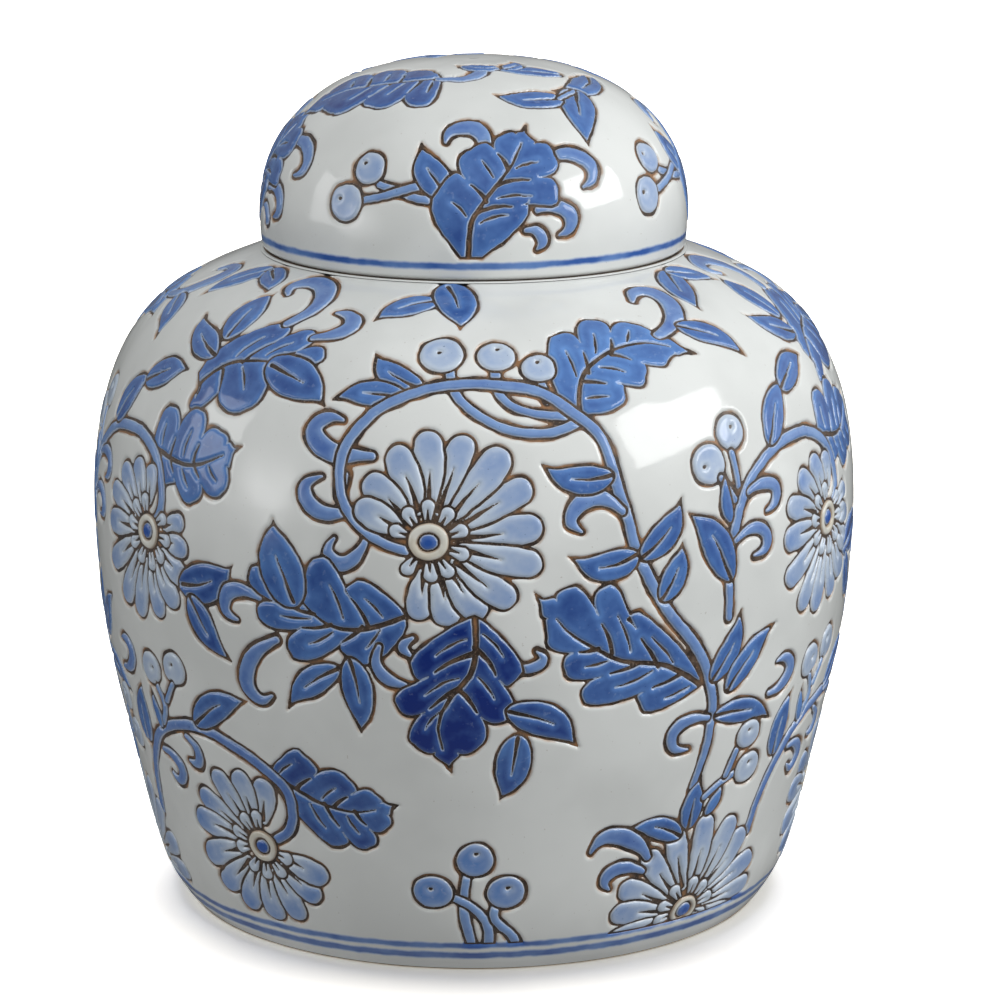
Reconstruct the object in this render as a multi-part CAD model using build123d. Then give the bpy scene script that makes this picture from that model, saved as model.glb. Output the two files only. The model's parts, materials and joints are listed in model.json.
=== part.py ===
from build123d import *

import math
import os

# A lidded ginger jar, in millimetres: a wide jar with an open neck, and a domed cap that
# drops over the neck and rests on the shoulder. Z is up along the axis that both pieces
# were turned on. The origin is on that axis, on the surface that the foot ring stands on.

# ---- Driving dimensions -------------------------------------------------------------------

OVERALL_HEIGHT = 280.0
BELLY_RADIUS = 127.0
BELLY_HEIGHT = 131.0
JAR_WALL = 6.5

# Foot: a flat unglazed ring round a shallow recess.
FOOT_RADIUS = 97.0
FOOT_INNER_RADIUS = 86.0
FOOT_RECESS = 3.5
FLOOR_TOP = 9.0
FLOOR_FLAT_RADIUS = 66.0
FLOOR_CORNER = [(93.5, 15.0), (82.0, 10.2)]

# Shoulder seat, where the lid rests, and the neck that the lid drops over.
SEAT_HEIGHT = 218.0
SEAT_RADIUS = 70.5
SEAT_STEP = 0.4
NECK_RADIUS = 60.5
NECK_WALL = 6.0
NECK_TOP = 243.0
NECK_ROOT_RADIUS = 1.5
THROAT_HEIGHT = 220.0
THROAT_TURN = (58.5, 213.6)

# Lid: a superellipse dome above a short, slightly drawn-in rim.
LID_RADIUS = 71.0
LID_WALL = 5.5
LID_SPRING_HEIGHT = 228.0
LID_RIM_RADIUS = 68.5
LID_RIM_ROUND = 2.0
LID_RIM_DRAW_IN = 0.6
LID_SIDE_POWER = 2.5
LID_CROWN_POWER = 2.25

# Outside of the jar between its foot and its seat, as (radius, height).
JAR_OUTLINE = [
    (99.6, 2.6),
    (105.1, 12.0),
    (112.6, 39.0),
    (121.6, 79.0),
    (BELLY_RADIUS, BELLY_HEIGHT),
    (123.2, 168.0),
    (108.0, 197.6),
    (91.0, 209.3),
    (78.5, 214.6),
    (SEAT_RADIUS, SEAT_HEIGHT - SEAT_STEP),
]

# Places along that outline, from 0 at the foot to 1 at the seat, where the inside follows it.
INSIDE_STATIONS = [0.97, 0.92, 0.87, 0.79, 0.66, 0.52, 0.36, 0.22, 0.11]


# ---- Outlines -----------------------------------------------------------------------------

def turned(curves):
    """Close a list of (radius, height) curves into a face and turn it once round Z."""
    return revolve(Plane.XZ * make_face(curves), Axis.Z)


def under(line, station, depth):
    """The point a given depth under a line, on the side towards the axis."""
    along = line % station
    inward = Vector(-along.Y, along.X)
    return line @ station + inward * depth


def jar_inside(outside):
    """The inside of the jar, from the throat under the neck down to the flat of the floor."""
    throat = (NECK_RADIUS - NECK_WALL, THROAT_HEIGHT)
    wall = [under(outside, station, JAR_WALL) for station in INSIDE_STATIONS]
    return Spline(throat, THROAT_TURN, *wall, *FLOOR_CORNER, (FLOOR_FLAT_RADIUS, FLOOR_TOP))


def dome(radius, height):
    """A quarter of a superellipse, from the lid's spring line up to its crown."""
    points = []
    for degrees in range(0, 91, 9):
        angle = math.radians(degrees)
        across = radius * max(math.cos(angle), 0.0) ** (2 / LID_SIDE_POWER)
        up = height * math.sin(angle) ** (2 / LID_CROWN_POWER)
        points.append((across, LID_SPRING_HEIGHT + up))
    points[-1] = (0.0, LID_SPRING_HEIGHT + height)
    return Spline(*points, tangents=[(0, 1), (-1, 0)])


# ---- Sub-parts ----------------------------------------------------------------------------

def jar_body():
    """The jar: foot ring, belly, shoulder seat and neck, thrown as one hollow piece."""
    outside = Spline(*JAR_OUTLINE)
    inside = jar_inside(outside)
    bore = NECK_RADIUS - NECK_WALL
    lip = NECK_WALL / 2
    root = NECK_RADIUS + NECK_ROOT_RADIUS
    underside = Polyline(
        (0, FLOOR_TOP),
        (0, FOOT_RECESS),
        (FOOT_INNER_RADIUS - FOOT_RECESS, FOOT_RECESS),
        (FOOT_INNER_RADIUS, 0),
        (FOOT_RADIUS, 0),
    )
    foot_edge = Line((FOOT_RADIUS, 0), JAR_OUTLINE[0])
    seat = Polyline(
        JAR_OUTLINE[-1],
        (SEAT_RADIUS - SEAT_STEP, SEAT_HEIGHT),
        (root, SEAT_HEIGHT),
    )
    neck_root = RadiusArc(
        (root, SEAT_HEIGHT), (NECK_RADIUS, SEAT_HEIGHT + NECK_ROOT_RADIUS), NECK_ROOT_RADIUS
    )
    neck_side = Line(neck_root @ 1, (NECK_RADIUS, NECK_TOP - lip))
    neck_lip = ThreePointArc(
        (NECK_RADIUS, NECK_TOP - lip), (bore + lip, NECK_TOP), (bore, NECK_TOP - lip)
    )
    neck_bore = Line((bore, NECK_TOP - lip), inside @ 0)
    floor = Line(inside @ 1, (0, FLOOR_TOP))
    return turned([
        underside, foot_edge, outside, seat, neck_root, neck_side, neck_lip, neck_bore,
        inside, floor,
    ])


def lid():
    """The cap: a hollow dome whose flat rim rests on the shoulder round the neck."""
    crown = OVERALL_HEIGHT - LID_SPRING_HEIGHT
    outer = dome(LID_RADIUS, crown)
    inner = dome(LID_RADIUS - LID_WALL, crown - LID_WALL)
    rim_inside = LID_RADIUS - LID_WALL - LID_RIM_DRAW_IN
    rim_top = (LID_RIM_RADIUS + LID_RIM_ROUND * 0.9, SEAT_HEIGHT + LID_RIM_ROUND)
    rim_round = Spline((LID_RIM_RADIUS, SEAT_HEIGHT), rim_top, tangents=[(1, 0.15), (0.12, 1)])
    side = Spline(rim_top, outer @ 0, tangents=[(0.12, 1), (0, 1)])
    rim = Line((LID_RIM_RADIUS, SEAT_HEIGHT), (rim_inside, SEAT_HEIGHT))
    inside = Spline((rim_inside, SEAT_HEIGHT), inner @ 0, tangents=[(0.05, 1), (0, 1)])
    crown_line = Line(inner @ 1, outer @ 1)
    return turned([rim_round, side, outer, crown_line, inner, inside, rim])


# ---- Output -------------------------------------------------------------------------------

os.makedirs("parts", exist_ok=True)
for name, make in {"jar_body": jar_body, "lid": lid}.items():
    export_step(make(), f"parts/{name}.step")
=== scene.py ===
import json
import math

import bpy
import numpy as np
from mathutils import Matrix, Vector

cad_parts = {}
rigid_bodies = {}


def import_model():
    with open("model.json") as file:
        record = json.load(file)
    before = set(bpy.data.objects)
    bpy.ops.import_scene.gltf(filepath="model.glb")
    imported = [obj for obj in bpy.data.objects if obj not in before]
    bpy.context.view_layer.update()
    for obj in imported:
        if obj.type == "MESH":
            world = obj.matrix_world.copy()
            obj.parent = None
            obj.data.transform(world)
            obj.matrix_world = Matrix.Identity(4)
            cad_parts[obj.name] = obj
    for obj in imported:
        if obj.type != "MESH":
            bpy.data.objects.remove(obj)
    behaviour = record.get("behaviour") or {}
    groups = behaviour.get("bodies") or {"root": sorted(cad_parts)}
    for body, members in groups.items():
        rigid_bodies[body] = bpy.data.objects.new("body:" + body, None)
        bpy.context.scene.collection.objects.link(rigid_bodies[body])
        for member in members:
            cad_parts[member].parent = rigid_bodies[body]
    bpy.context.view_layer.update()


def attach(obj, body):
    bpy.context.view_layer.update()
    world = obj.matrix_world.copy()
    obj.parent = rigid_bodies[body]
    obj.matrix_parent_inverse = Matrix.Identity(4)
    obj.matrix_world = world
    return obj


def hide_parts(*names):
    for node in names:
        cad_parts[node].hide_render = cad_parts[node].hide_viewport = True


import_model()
MM = 0.001

# ---- Turned outlines, in millimetres, the same as the CAD solids' -------------------------

JAR_OUTLINE = [(99.6, 2.6), (105.1, 12), (112.6, 39), (121.6, 79), (127, 131), (123.2, 168),
               (108, 197.6), (91, 209.3), (78.5, 214.6), (70.5, 217.6)]
FOOT_RADIUS = 97.0
LID_RADIUS, LID_SPRING, LID_CROWN = 71.0, 228.0, 52.0
LID_SIDE_POWER, LID_CROWN_POWER = 2.5, 2.25
TURNED_STEPS = 4000         # samples along a turned outline
NORMAL_STEPS = 25           # samples over which its normal is averaged


def spline(points, count, free_ends=True):
    """A cubic curve through the points. free_ends is a natural spline, else not-a-knot."""
    p = np.asarray(points, float)
    t = np.concatenate([[0], np.cumsum(np.sqrt((np.diff(p, axis=0) ** 2).sum(1)))])
    u = np.linspace(0, t[-1], count)
    n = len(p)
    if n == 2:
        return p[0] + (p[1] - p[0]) * (u / t[-1])[:, None]
    h = np.diff(t)
    a, b = np.zeros((n, n)), np.zeros((n, p.shape[1]))
    for i in range(1, n - 1):
        a[i, i - 1:i + 2] = h[i - 1], 2 * (h[i - 1] + h[i]), h[i]
        b[i] = 6 * ((p[i + 1] - p[i]) / h[i] - (p[i] - p[i - 1]) / h[i - 1])
    if free_ends or n == 3:
        a[0, 0] = a[-1, -1] = 1
    else:
        a[0, :3] = h[1], -h[0] - h[1], h[0]
        a[-1, -3:] = h[-1], -h[-2] - h[-1], h[-2]
    m = np.linalg.solve(a, b)
    k = np.clip(np.searchsorted(t, u, side="right") - 1, 0, n - 2)
    hk = h[k][:, None]
    f, g = ((t[k + 1] - u)[:, None], (u - t[k])[:, None])
    return ((m[k] * f ** 3 + m[k + 1] * g ** 3) / (6 * hk)
            + (p[k] / hk - m[k] * hk / 6) * f + (p[k + 1] / hk - m[k + 1] * hk / 6) * g)


class Turned:
    """An outline turned round Z: radius, height and normal by length along it, and a
    conformal height in which small shapes keep their proportions."""

    def __init__(self, curve):
        step = np.sqrt((np.diff(curve, axis=0) ** 2).sum(1))
        length = np.concatenate([[0], np.cumsum(step)])
        self.total = length[-1]
        even = np.linspace(0, self.total, TURNED_STEPS)
        self.r, self.z = (np.interp(even, length, curve[:, k]) for k in (0, 1))
        self.s = even
        dr, dz = np.gradient(self.r), np.gradient(self.z)
        kernel = np.hanning(NORMAL_STEPS) / np.hanning(NORMAL_STEPS).sum()
        pad = NORMAL_STEPS // 2
        dr = np.convolve(np.pad(dr, pad, mode="edge"), kernel, "valid")
        dz = np.convolve(np.pad(dz, pad, mode="edge"), kernel, "valid")
        length = np.hypot(dr, dz)
        self.nr, self.nz = dz / length, -dr / length
        turn = 1 / np.maximum(self.r, 0.3)
        self.y = np.concatenate([[0], np.cumsum((turn[1:] + turn[:-1]) / 2 * np.diff(even))])

    def at(self, s):
        return [np.interp(s, self.s, v) for v in (self.r, self.z, self.nr, self.nz)]


def dome(radius, crown, count):
    """The lid's rounded profile, a superellipse that is fuller at the side than on top."""
    return [(radius * max(math.cos(a), 0) ** (2 / LID_SIDE_POWER),
             LID_SPRING + crown * math.sin(a) ** (2 / LID_CROWN_POWER))
            for a in np.linspace(0, math.pi / 2, count)]


jar_curve = np.vstack([[(FOOT_RADIUS, 0.0)], spline(JAR_OUTLINE, 1200, free_ends=False)])
JAR = Turned(jar_curve)
LID_RIM = [(68.5, 218.0), (69.7, 218.5), (70.3, 220.0), (70.8, 224.0)]
LID = Turned(np.array(LID_RIM + dome(LID_RADIUS, LID_CROWN, 200)))

# ---- The drawn decoration: signed distances on a grid over one repeat ---------------------

DEEP, MID, PALE, CREAM = 1, 2, 3, 4
FAR = -60.0         # mm, a distance far outside any glaze
LINE = 0.85         # brown line width round the cells, mm
GAP = 0.78          # brown line width between touching cells, mm
RIM = 0.9           # mm round a cell where its kind and tone are noted too
# the slow and the fast tremble of a hand-drawn line: its size, and its wave lengths, in mm
TREMBLE = [(0.22, (9, 22)), (0.07, (3, 7))]


def waves(seed, shortest, longest, count=10):
    """A smooth random field over space, in about -1 to 1, from a few plane waves."""
    rng = np.random.default_rng(seed)
    direction = rng.normal(size=(count, 3))
    direction /= np.sqrt((direction ** 2).sum(1))[:, None]
    length = np.exp(rng.uniform(math.log(shortest), math.log(longest), count))
    phase = rng.uniform(0, 2 * math.pi, count)

    def field(x, y, z):
        total = 0
        for d, w, q in zip(direction, 2 * math.pi / length, phase):
            total = total + np.sin((x * d[0] + y * d[1] + z * d[2]) * w + q)
        return total / math.sqrt(count)
    return field


class Decor:
    """One repeat of the decoration on a turned surface, as distances in millimetres. inside
    is the distance inside the nearest glaze cell, and joined the same for all the cells in
    one softened shape."""

    def __init__(self, turned, rows, columns, repeats, start, last, seed):
        self.turned, self.rows, self.columns, self.repeats = turned, rows, columns, repeats
        self.s = np.linspace(0, last, rows)
        self.start = math.radians(start)
        self.step = 2 * math.pi / repeats / columns
        self.r = turned.at(self.s)[0]
        self.y = np.interp(self.s, turned.s, turned.y)
        self.phi = self.start + self.step * np.arange(columns)
        self.inside = np.full((rows, columns), FAR)
        self.joined = np.full((rows, columns), FAR)
        self.kind = np.zeros((rows, columns), np.int8)
        self.tone = np.zeros((rows, columns))
        self.turn = 0           # degrees added to every place that is drawn
        self.rng = np.random.default_rng(seed)
        x, y = self.phi[None, :] * 100, self.s[:, None]
        self.dx, self.dy = (sum(size * waves(seed + k, *lengths)(x, y, 0 * x)
                                for k, (size, lengths) in enumerate(TREMBLE, first))
                            for first in (1, 3))

    def chart(self, points):
        """(degrees round, mm up the surface) to the conformal chart."""
        p = np.asarray(points, float).reshape(-1, 2)
        height = np.interp(p[:, 1], self.turned.s, self.turned.y)
        return np.stack([np.radians(p[:, 0] + self.turn), height], 1)

    def radius(self, y):
        return np.interp(y, self.turned.y, self.turned.r)

    def window(self, p, pad):
        """The part of the grid around points of the chart, with pad mm to spare: its index,
        its places in the chart and its radii. It holds no column twice, and is None where
        the grid doesn't reach."""
        low, high = p.min(0), p.max(0)
        s0 = np.interp(low[1], self.turned.y, self.turned.s) - pad
        s1 = np.interp(high[1], self.turned.y, self.turned.s) + pad
        i0 = max(np.searchsorted(self.s, s0) - 1, 0)
        i1 = min(np.searchsorted(self.s, s1) + 1, self.rows)
        if i1 <= i0:
            return None
        r = max(self.r[i0:i1].min(), 4.0)
        j0 = int(math.floor((low[0] - pad / r - self.start) / self.step))
        j1 = int(math.ceil((high[0] + pad / r - self.start) / self.step)) + 1
        spare = max(j1 - j0 - self.columns, 0)
        columns = np.arange(j0 + spare // 2, j1 - (spare + 1) // 2)
        wrapped = columns % self.columns
        index = np.ix_(np.arange(i0, i1), wrapped)
        rr = self.r[i0:i1][:, None]
        x = (self.start + self.step * columns)[None, :] + self.dx[index] / rr
        y = self.y[i0:i1][:, None] + self.dy[index] / rr
        return index, x, y, rr

    def swept(self, p, half, view):
        """Distance inside a line p of the chart, swept with half widths in mm."""
        _, x, y, r = view
        out = np.full(x.shape, FAR)
        for a, b, wa, wb in zip(p[:-1], p[1:], half[:-1], half[1:]):
            d = b - a
            n = d @ d
            t = np.clip(((x - a[0]) * d[0] + (y - a[1]) * d[1]) / n, 0, 1) if n > 0 else 0 * x
            gap = np.hypot(x - a[0] - t * d[0], y - a[1] - t * d[1]) * r
            np.maximum(out, wa + (wb - wa) * t - gap, out=out)
        return out

    def filled(self, p, view):
        """Distance inside a closed outline p of the chart, in mm."""
        _, x, y, r = view
        inside = np.zeros(x.shape, bool)
        for a, b in zip(p, np.roll(p, -1, axis=0)):
            crosses = (a[1] > y) != (b[1] > y)
            level = y - a[1] if a[1] == b[1] else (y - a[1]) * (b[0] - a[0]) / (b[1] - a[1])
            inside ^= crosses & (x < a[0] + level)
        ring = np.vstack([p, p[:1]])
        edge = -self.swept(ring, np.zeros(len(ring)), view)
        return np.where(inside, edge, -edge)

    def place(self, parts, cuts, kind, tone, gap=GAP, own_line=0.0):
        """Add one glaze cell: the union of swept lines, less the swept cuts. A part with no
        widths is a closed outline. gap is the brown line against older cells, and own_line
        widens the brown line round this one."""
        everything = np.vstack([p for p, _ in parts])
        reach = max(0.0 if h is None else float(np.max(h)) for _, h in parts) + 6.0
        view = self.window(everything, reach)
        if view is None:
            return
        index = view[0]
        new = np.full(view[1].shape, FAR)
        for p, h in parts:
            new = np.maximum(new, self.filled(p, view) if h is None else self.swept(p, h, view))
        if callable(tone):
            tone = tone(view[1], view[2])
        whole = new
        for p, h in cuts:
            new = np.minimum(new, -self.swept(p, h, view))
        carved = np.minimum(self.inside[index], -whole - gap)
        near = (new > carved) & (new > -RIM)
        self.inside[index] = np.maximum(carved, new)
        kinds, tones = self.kind[index], self.tone[index]
        kinds[near] = kind
        tones[near] = tone if np.isscalar(tone) else tone[near]
        self.kind[index], self.tone[index] = kinds, tones
        self.widen(index, whole + own_line)

    def widen(self, index, new, soft=1.1):
        """Join a shape to the brown ground of the cells, with a fillet of about soft mm."""
        old = self.joined[index]
        h = np.clip(0.5 + 0.5 * (new - old) / soft, 0, 1)
        self.joined[index] = old + (new - old) * h + soft * h * (1 - h)

    def ink(self, points, half):
        """Brown line with no glaze in it, such as the drawn-out point of a leaf."""
        p = spline(self.chart(points), 14)
        view = self.window(p, max(half) + 5)
        if view is not None:
            self.widen(view[0], self.swept(p, along(half, 14), view) - LINE, soft=0.8)


def along(values, count):
    """The values, spread evenly over count samples."""
    return np.interp(np.linspace(0, 1, count), np.linspace(0, 1, len(values)), values)


def stroke(d, points, widths, tone=0.6, line=0.0, count=0):
    """A drawn line of glaze through the points, with its width in mm along it."""
    n = count or 6 * len(points)
    d.place([(spline(d.chart(points), n), along(widths, n) / 2)], [], MID, tone, own_line=line)


def hook(d, points, width):
    """A curled tendril, thin where it springs, widest past its middle, and a fine point."""
    shape = np.array([0.42, 0.62, 0.9, 1.0, 0.92, 0.62, 0.2]) * width
    stroke(d, points, shape, tone=0.45, line=0.25)
    before, end = np.array(points[-2:], float)
    d.ink([end - (end - before) * 0.25, end + (end - before) * 0.12], [1.0, 0.5])


def bezier(a, b, bend, count):
    """A line of the chart from a to b, bowed sideways by bend times its length."""
    across = np.array([-(b - a)[1], (b - a)[0]])
    mid = (a + b) / 2 + across * bend
    t = np.linspace(0, 1, count)[:, None]
    return a * (1 - t) ** 2 + 2 * mid * t * (1 - t) + b * t ** 2


def leaf(d, base, tip, width, bend=0.0, vein=0.68, tone=0.5):
    """A simple leaf, pointed at both ends, with a slit for its vein."""
    a, b = d.chart([base, tip])
    n = 22
    p = bezier(a, b, bend, n)
    t = np.linspace(0, 1, n)
    p = p + (0.05 * np.sign(bend or 1) * np.clip(t - 0.6, 0, 1) ** 2 / 0.16)[:, None] * np.array(
        [(b - a)[1], -(b - a)[0]])
    half = width / 2 * np.sin(math.pi * t ** 0.8) ** 0.75 * (1 - 0.45 * t ** 5)
    cuts = []
    if vein:
        m = int(n * vein)
        cuts = [(p[:m], np.linspace(0.70, 0.12, m))]
    d.place([(p, half)], cuts, DEEP, tone)
    sharpen(d, p, 2.2)


def sharpen(d, line, length):
    """The brown outline drawn out to a point beyond a leaf's tip."""
    view = d.window(line[-3:], 7)
    if view is not None:
        beyond = line[-1] + unit(line[-1] - line[-3]) * length / d.radius(line[-1][1])
        q = np.array([line[-3], line[-1], beyond])
        d.widen(view[0], d.swept(q, np.array([1.7, 1.1, 0.25]), view) - LINE, soft=0.5)


def norm(v):
    return np.sqrt((v ** 2).sum())


def unit(v):
    return v / norm(v)


def lobed(d, spine, lobes, tone, slit, notch, tip_notch=0.25, bold=1.0, base=0.35):
    """A big leaf with one lobed outline round a curved spine. Each lobe is (place along the
    spine, its tip, width, bow). slit is how far the slits between the lobes reach from the
    spine to the outline, and bold how wide they and the vein are. notch is how deep the
    outline dips between lobes, tip_notch the same beyond the last ones, and base how full
    the leaf is where it springs."""
    n = 40
    line = spline(d.chart(spine), n)
    vein = int(n * 0.88)
    cuts = [(line[:vein], along([0.66, 0.52, 0.16], vein) * bold)]
    outline = [line[:1]]
    head, foot = unit(line[-1] - line[-5]), unit(line[4] - line[0])
    for sign in (1, -1):
        side = []
        for place, tip, width, bow in sorted(lobes):
            end = d.chart([tip])[0]
            if side_of(line, end) * sign > 0:
                side.append((place, line[int(round(place * (n - 1)))], end, width, bow))
        half, start = [], line[0]
        lean = np.array([-foot[1], foot[0]]) * sign * base
        for k, (place, root, end, width, bow) in enumerate(side):
            way = unit(end - root)
            last = k == len(side) - 1
            after = line[-1] if last else side[k + 1][2]
            middle = line[int((0.5 + place / 2) * n)] if last else (root + side[k + 1][1]) / 2
            low = (end + after) / 2
            low = low + (middle - low) * (tip_notch if last else notch)
            if not last:
                goal = middle + (low - middle) * slit
                cuts.append((bezier(middle, goal, bow, 12), along([0.54, 0.45, 0.2], 12) * bold))
            mm = 1 / d.radius(end[1])
            across = np.array([-way[1], way[0]]) * width * 0.42 * mm
            if across @ (end - start) < 0:
                across = -across
            out = way * width * 0.08 * mm
            size = norm(end - start)
            half += [curve_to(start, start + lean * size, end - across + out, end),
                     curve_to(end, end + across + out, low + way * size * 0.12, low)]
            if width > 9:
                tip = root + (end - root) * 0.62
                cuts.append((bezier(root + (tip - root) * 0.25, tip, bow, 10),
                             along([0.2, 0.42, 0.12], 10)))
            start, lean = low, way * 0.25
        size = norm(line[-1] - start)
        full = np.array([-head[1], head[0]]) * sign * size
        half.append(curve_to(start, start + unit(way + head) * size * 0.3 + full * 0.15,
                             line[-1] - head * size * 0.45 + full * 0.05, line[-1]))
        half = np.vstack(half)
        outline.append(half if sign > 0 else half[::-1])
    d.place([(np.vstack(outline), None)], cuts, DEEP, tone)
    sharpen(d, line, 2.4)


def curve_to(a, near_a, near_b, b, count=8):
    """A cubic curve from a to b by its two control points, without its first point."""
    t = np.linspace(0, 1, count + 1)[1:, None]
    return (a * (1 - t) ** 3 + 3 * near_a * t * (1 - t) ** 2 + 3 * near_b * t ** 2 * (1 - t)
            + b * t ** 3)


def side_of(line, point):
    """Above 0 for a point on the left of a line, and below 0 on its right."""
    k = np.argmin(((line - point) ** 2).sum(1))
    k = min(max(k, 1), len(line) - 2)
    t, v = line[k + 1] - line[k - 1], point - line[k]
    return t[0] * v[1] - t[1] * v[0]


def berry(d, at, radius, dot=(0.15, 0.35), tone=0.78):
    """A round berry with a small dark pip."""
    c = d.chart([at])[0]
    r = d.radius(c[1])
    wobble = d.rng.uniform(-0.25, 0.25)
    ring = np.array([c + np.array([-0.3 - wobble, 0]) / r, c + np.array([0.3 + wobble, 0.2]) / r])
    pip = c + np.array(dot) * radius / r
    cuts = [(np.array([pip, pip + np.array([0.5, 0.15]) / r]), np.array([0.62, 0.4]))]
    d.place([(ring, np.full(2, radius - 0.3))], cuts, PALE, tone, own_line=0.15)


INNER_PETALS = 10


def flower(d, at, ring, dot, count, lengths, width, turn, tone=0.55, open_to=None, gap=42):
    """A daisy: a cream ring round a blue dot, short inner petals and long outer ones.
    lengths gives an outer petal's length, from the centre, for its angle in radians. open_to
    is the angle, in degrees, of the side where the stem comes in and no petal lies."""
    c = d.chart([at])[0]
    r = d.radius(c[1])

    def shade(low, high, near, far):
        """Paler towards the middle of the flower."""
        def tones(x, y):
            away = np.hypot(x - c[0], y - c[1]) * r
            return high + (low - high) * np.clip((away - near) / (far - near), 0, 1)
        return tones

    def clear(angle, half_gap):
        if open_to is None:
            return True
        turn_away = (math.degrees(angle) - open_to + 180) % 360 - 180
        return abs(turn_away) > half_gap

    for k in range(count):
        angle = turn + 2 * math.pi * (k + d.rng.uniform(-0.10, 0.10)) / count
        way = np.array([math.cos(angle), math.sin(angle)]) / r
        reach = lengths(angle) * (1 + d.rng.uniform(-0.03, 0.03))
        wide = width * d.rng.uniform(0.93, 1.05) * min(1.0, reach / 26)
        lean = d.rng.uniform(-0.05, 0.05)
        low = tone + d.rng.uniform(-0.10, 0.10)
        if not clear(angle, gap):
            continue
        p = bezier(c + way * (ring + 4.6), c + way * (reach - wide * 0.45), lean, 16)
        half = wide / 2 * along([0.40, 0.60, 0.80, 0.94, 1.0, 0.94], 16)
        m = 10 if k % 2 else 9
        cut = (bezier(p[0], p[m], 0.0, 8), np.linspace(0.95, 0.12, 8) * min(1.0, wide / 8))
        d.place([(p, half)], [cut], PALE, shade(low - 0.10, 0.98, ring + 5, reach), 0.85)
    for k in range(INNER_PETALS):
        angle = turn + 0.2 + 2 * math.pi * (k + d.rng.uniform(-0.12, 0.12)) / INNER_PETALS
        way = np.array([math.cos(angle), math.sin(angle)]) / r
        size = d.rng.uniform(4.4, 5.2)
        if not clear(angle, gap * 0.6):
            continue
        p = np.array([c + way * (ring + 1.6), c + way * (ring + size)])
        slit = np.array([c + way * (ring + 1.0), c + way * (ring + size - 1.0)])
        cut = (slit, np.array([0.55, 0.2]))
        d.place([(p, np.array([1.25, 2.15]))], [cut], PALE, shade(0.55, 1.0, ring + 5, ring), 0.7)
    blot = np.array([c - np.array([0.2, 0]) / r, c + np.array([0.2, 0.1]) / r])
    d.place([(blot, np.full(2, ring))], [], CREAM, 0.5, 0.9)
    d.place([(blot, np.full(2, dot))], [], MID, 0.0, 0.6, own_line=-3.0)


# The scrolling flower stem that runs three times round the jar. Places are degrees round
# and millimetres up the surface from the foot.
jar = Decor(JAR, rows=501, columns=532, repeats=3, start=-60, last=JAR.total, seed=3)


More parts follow.
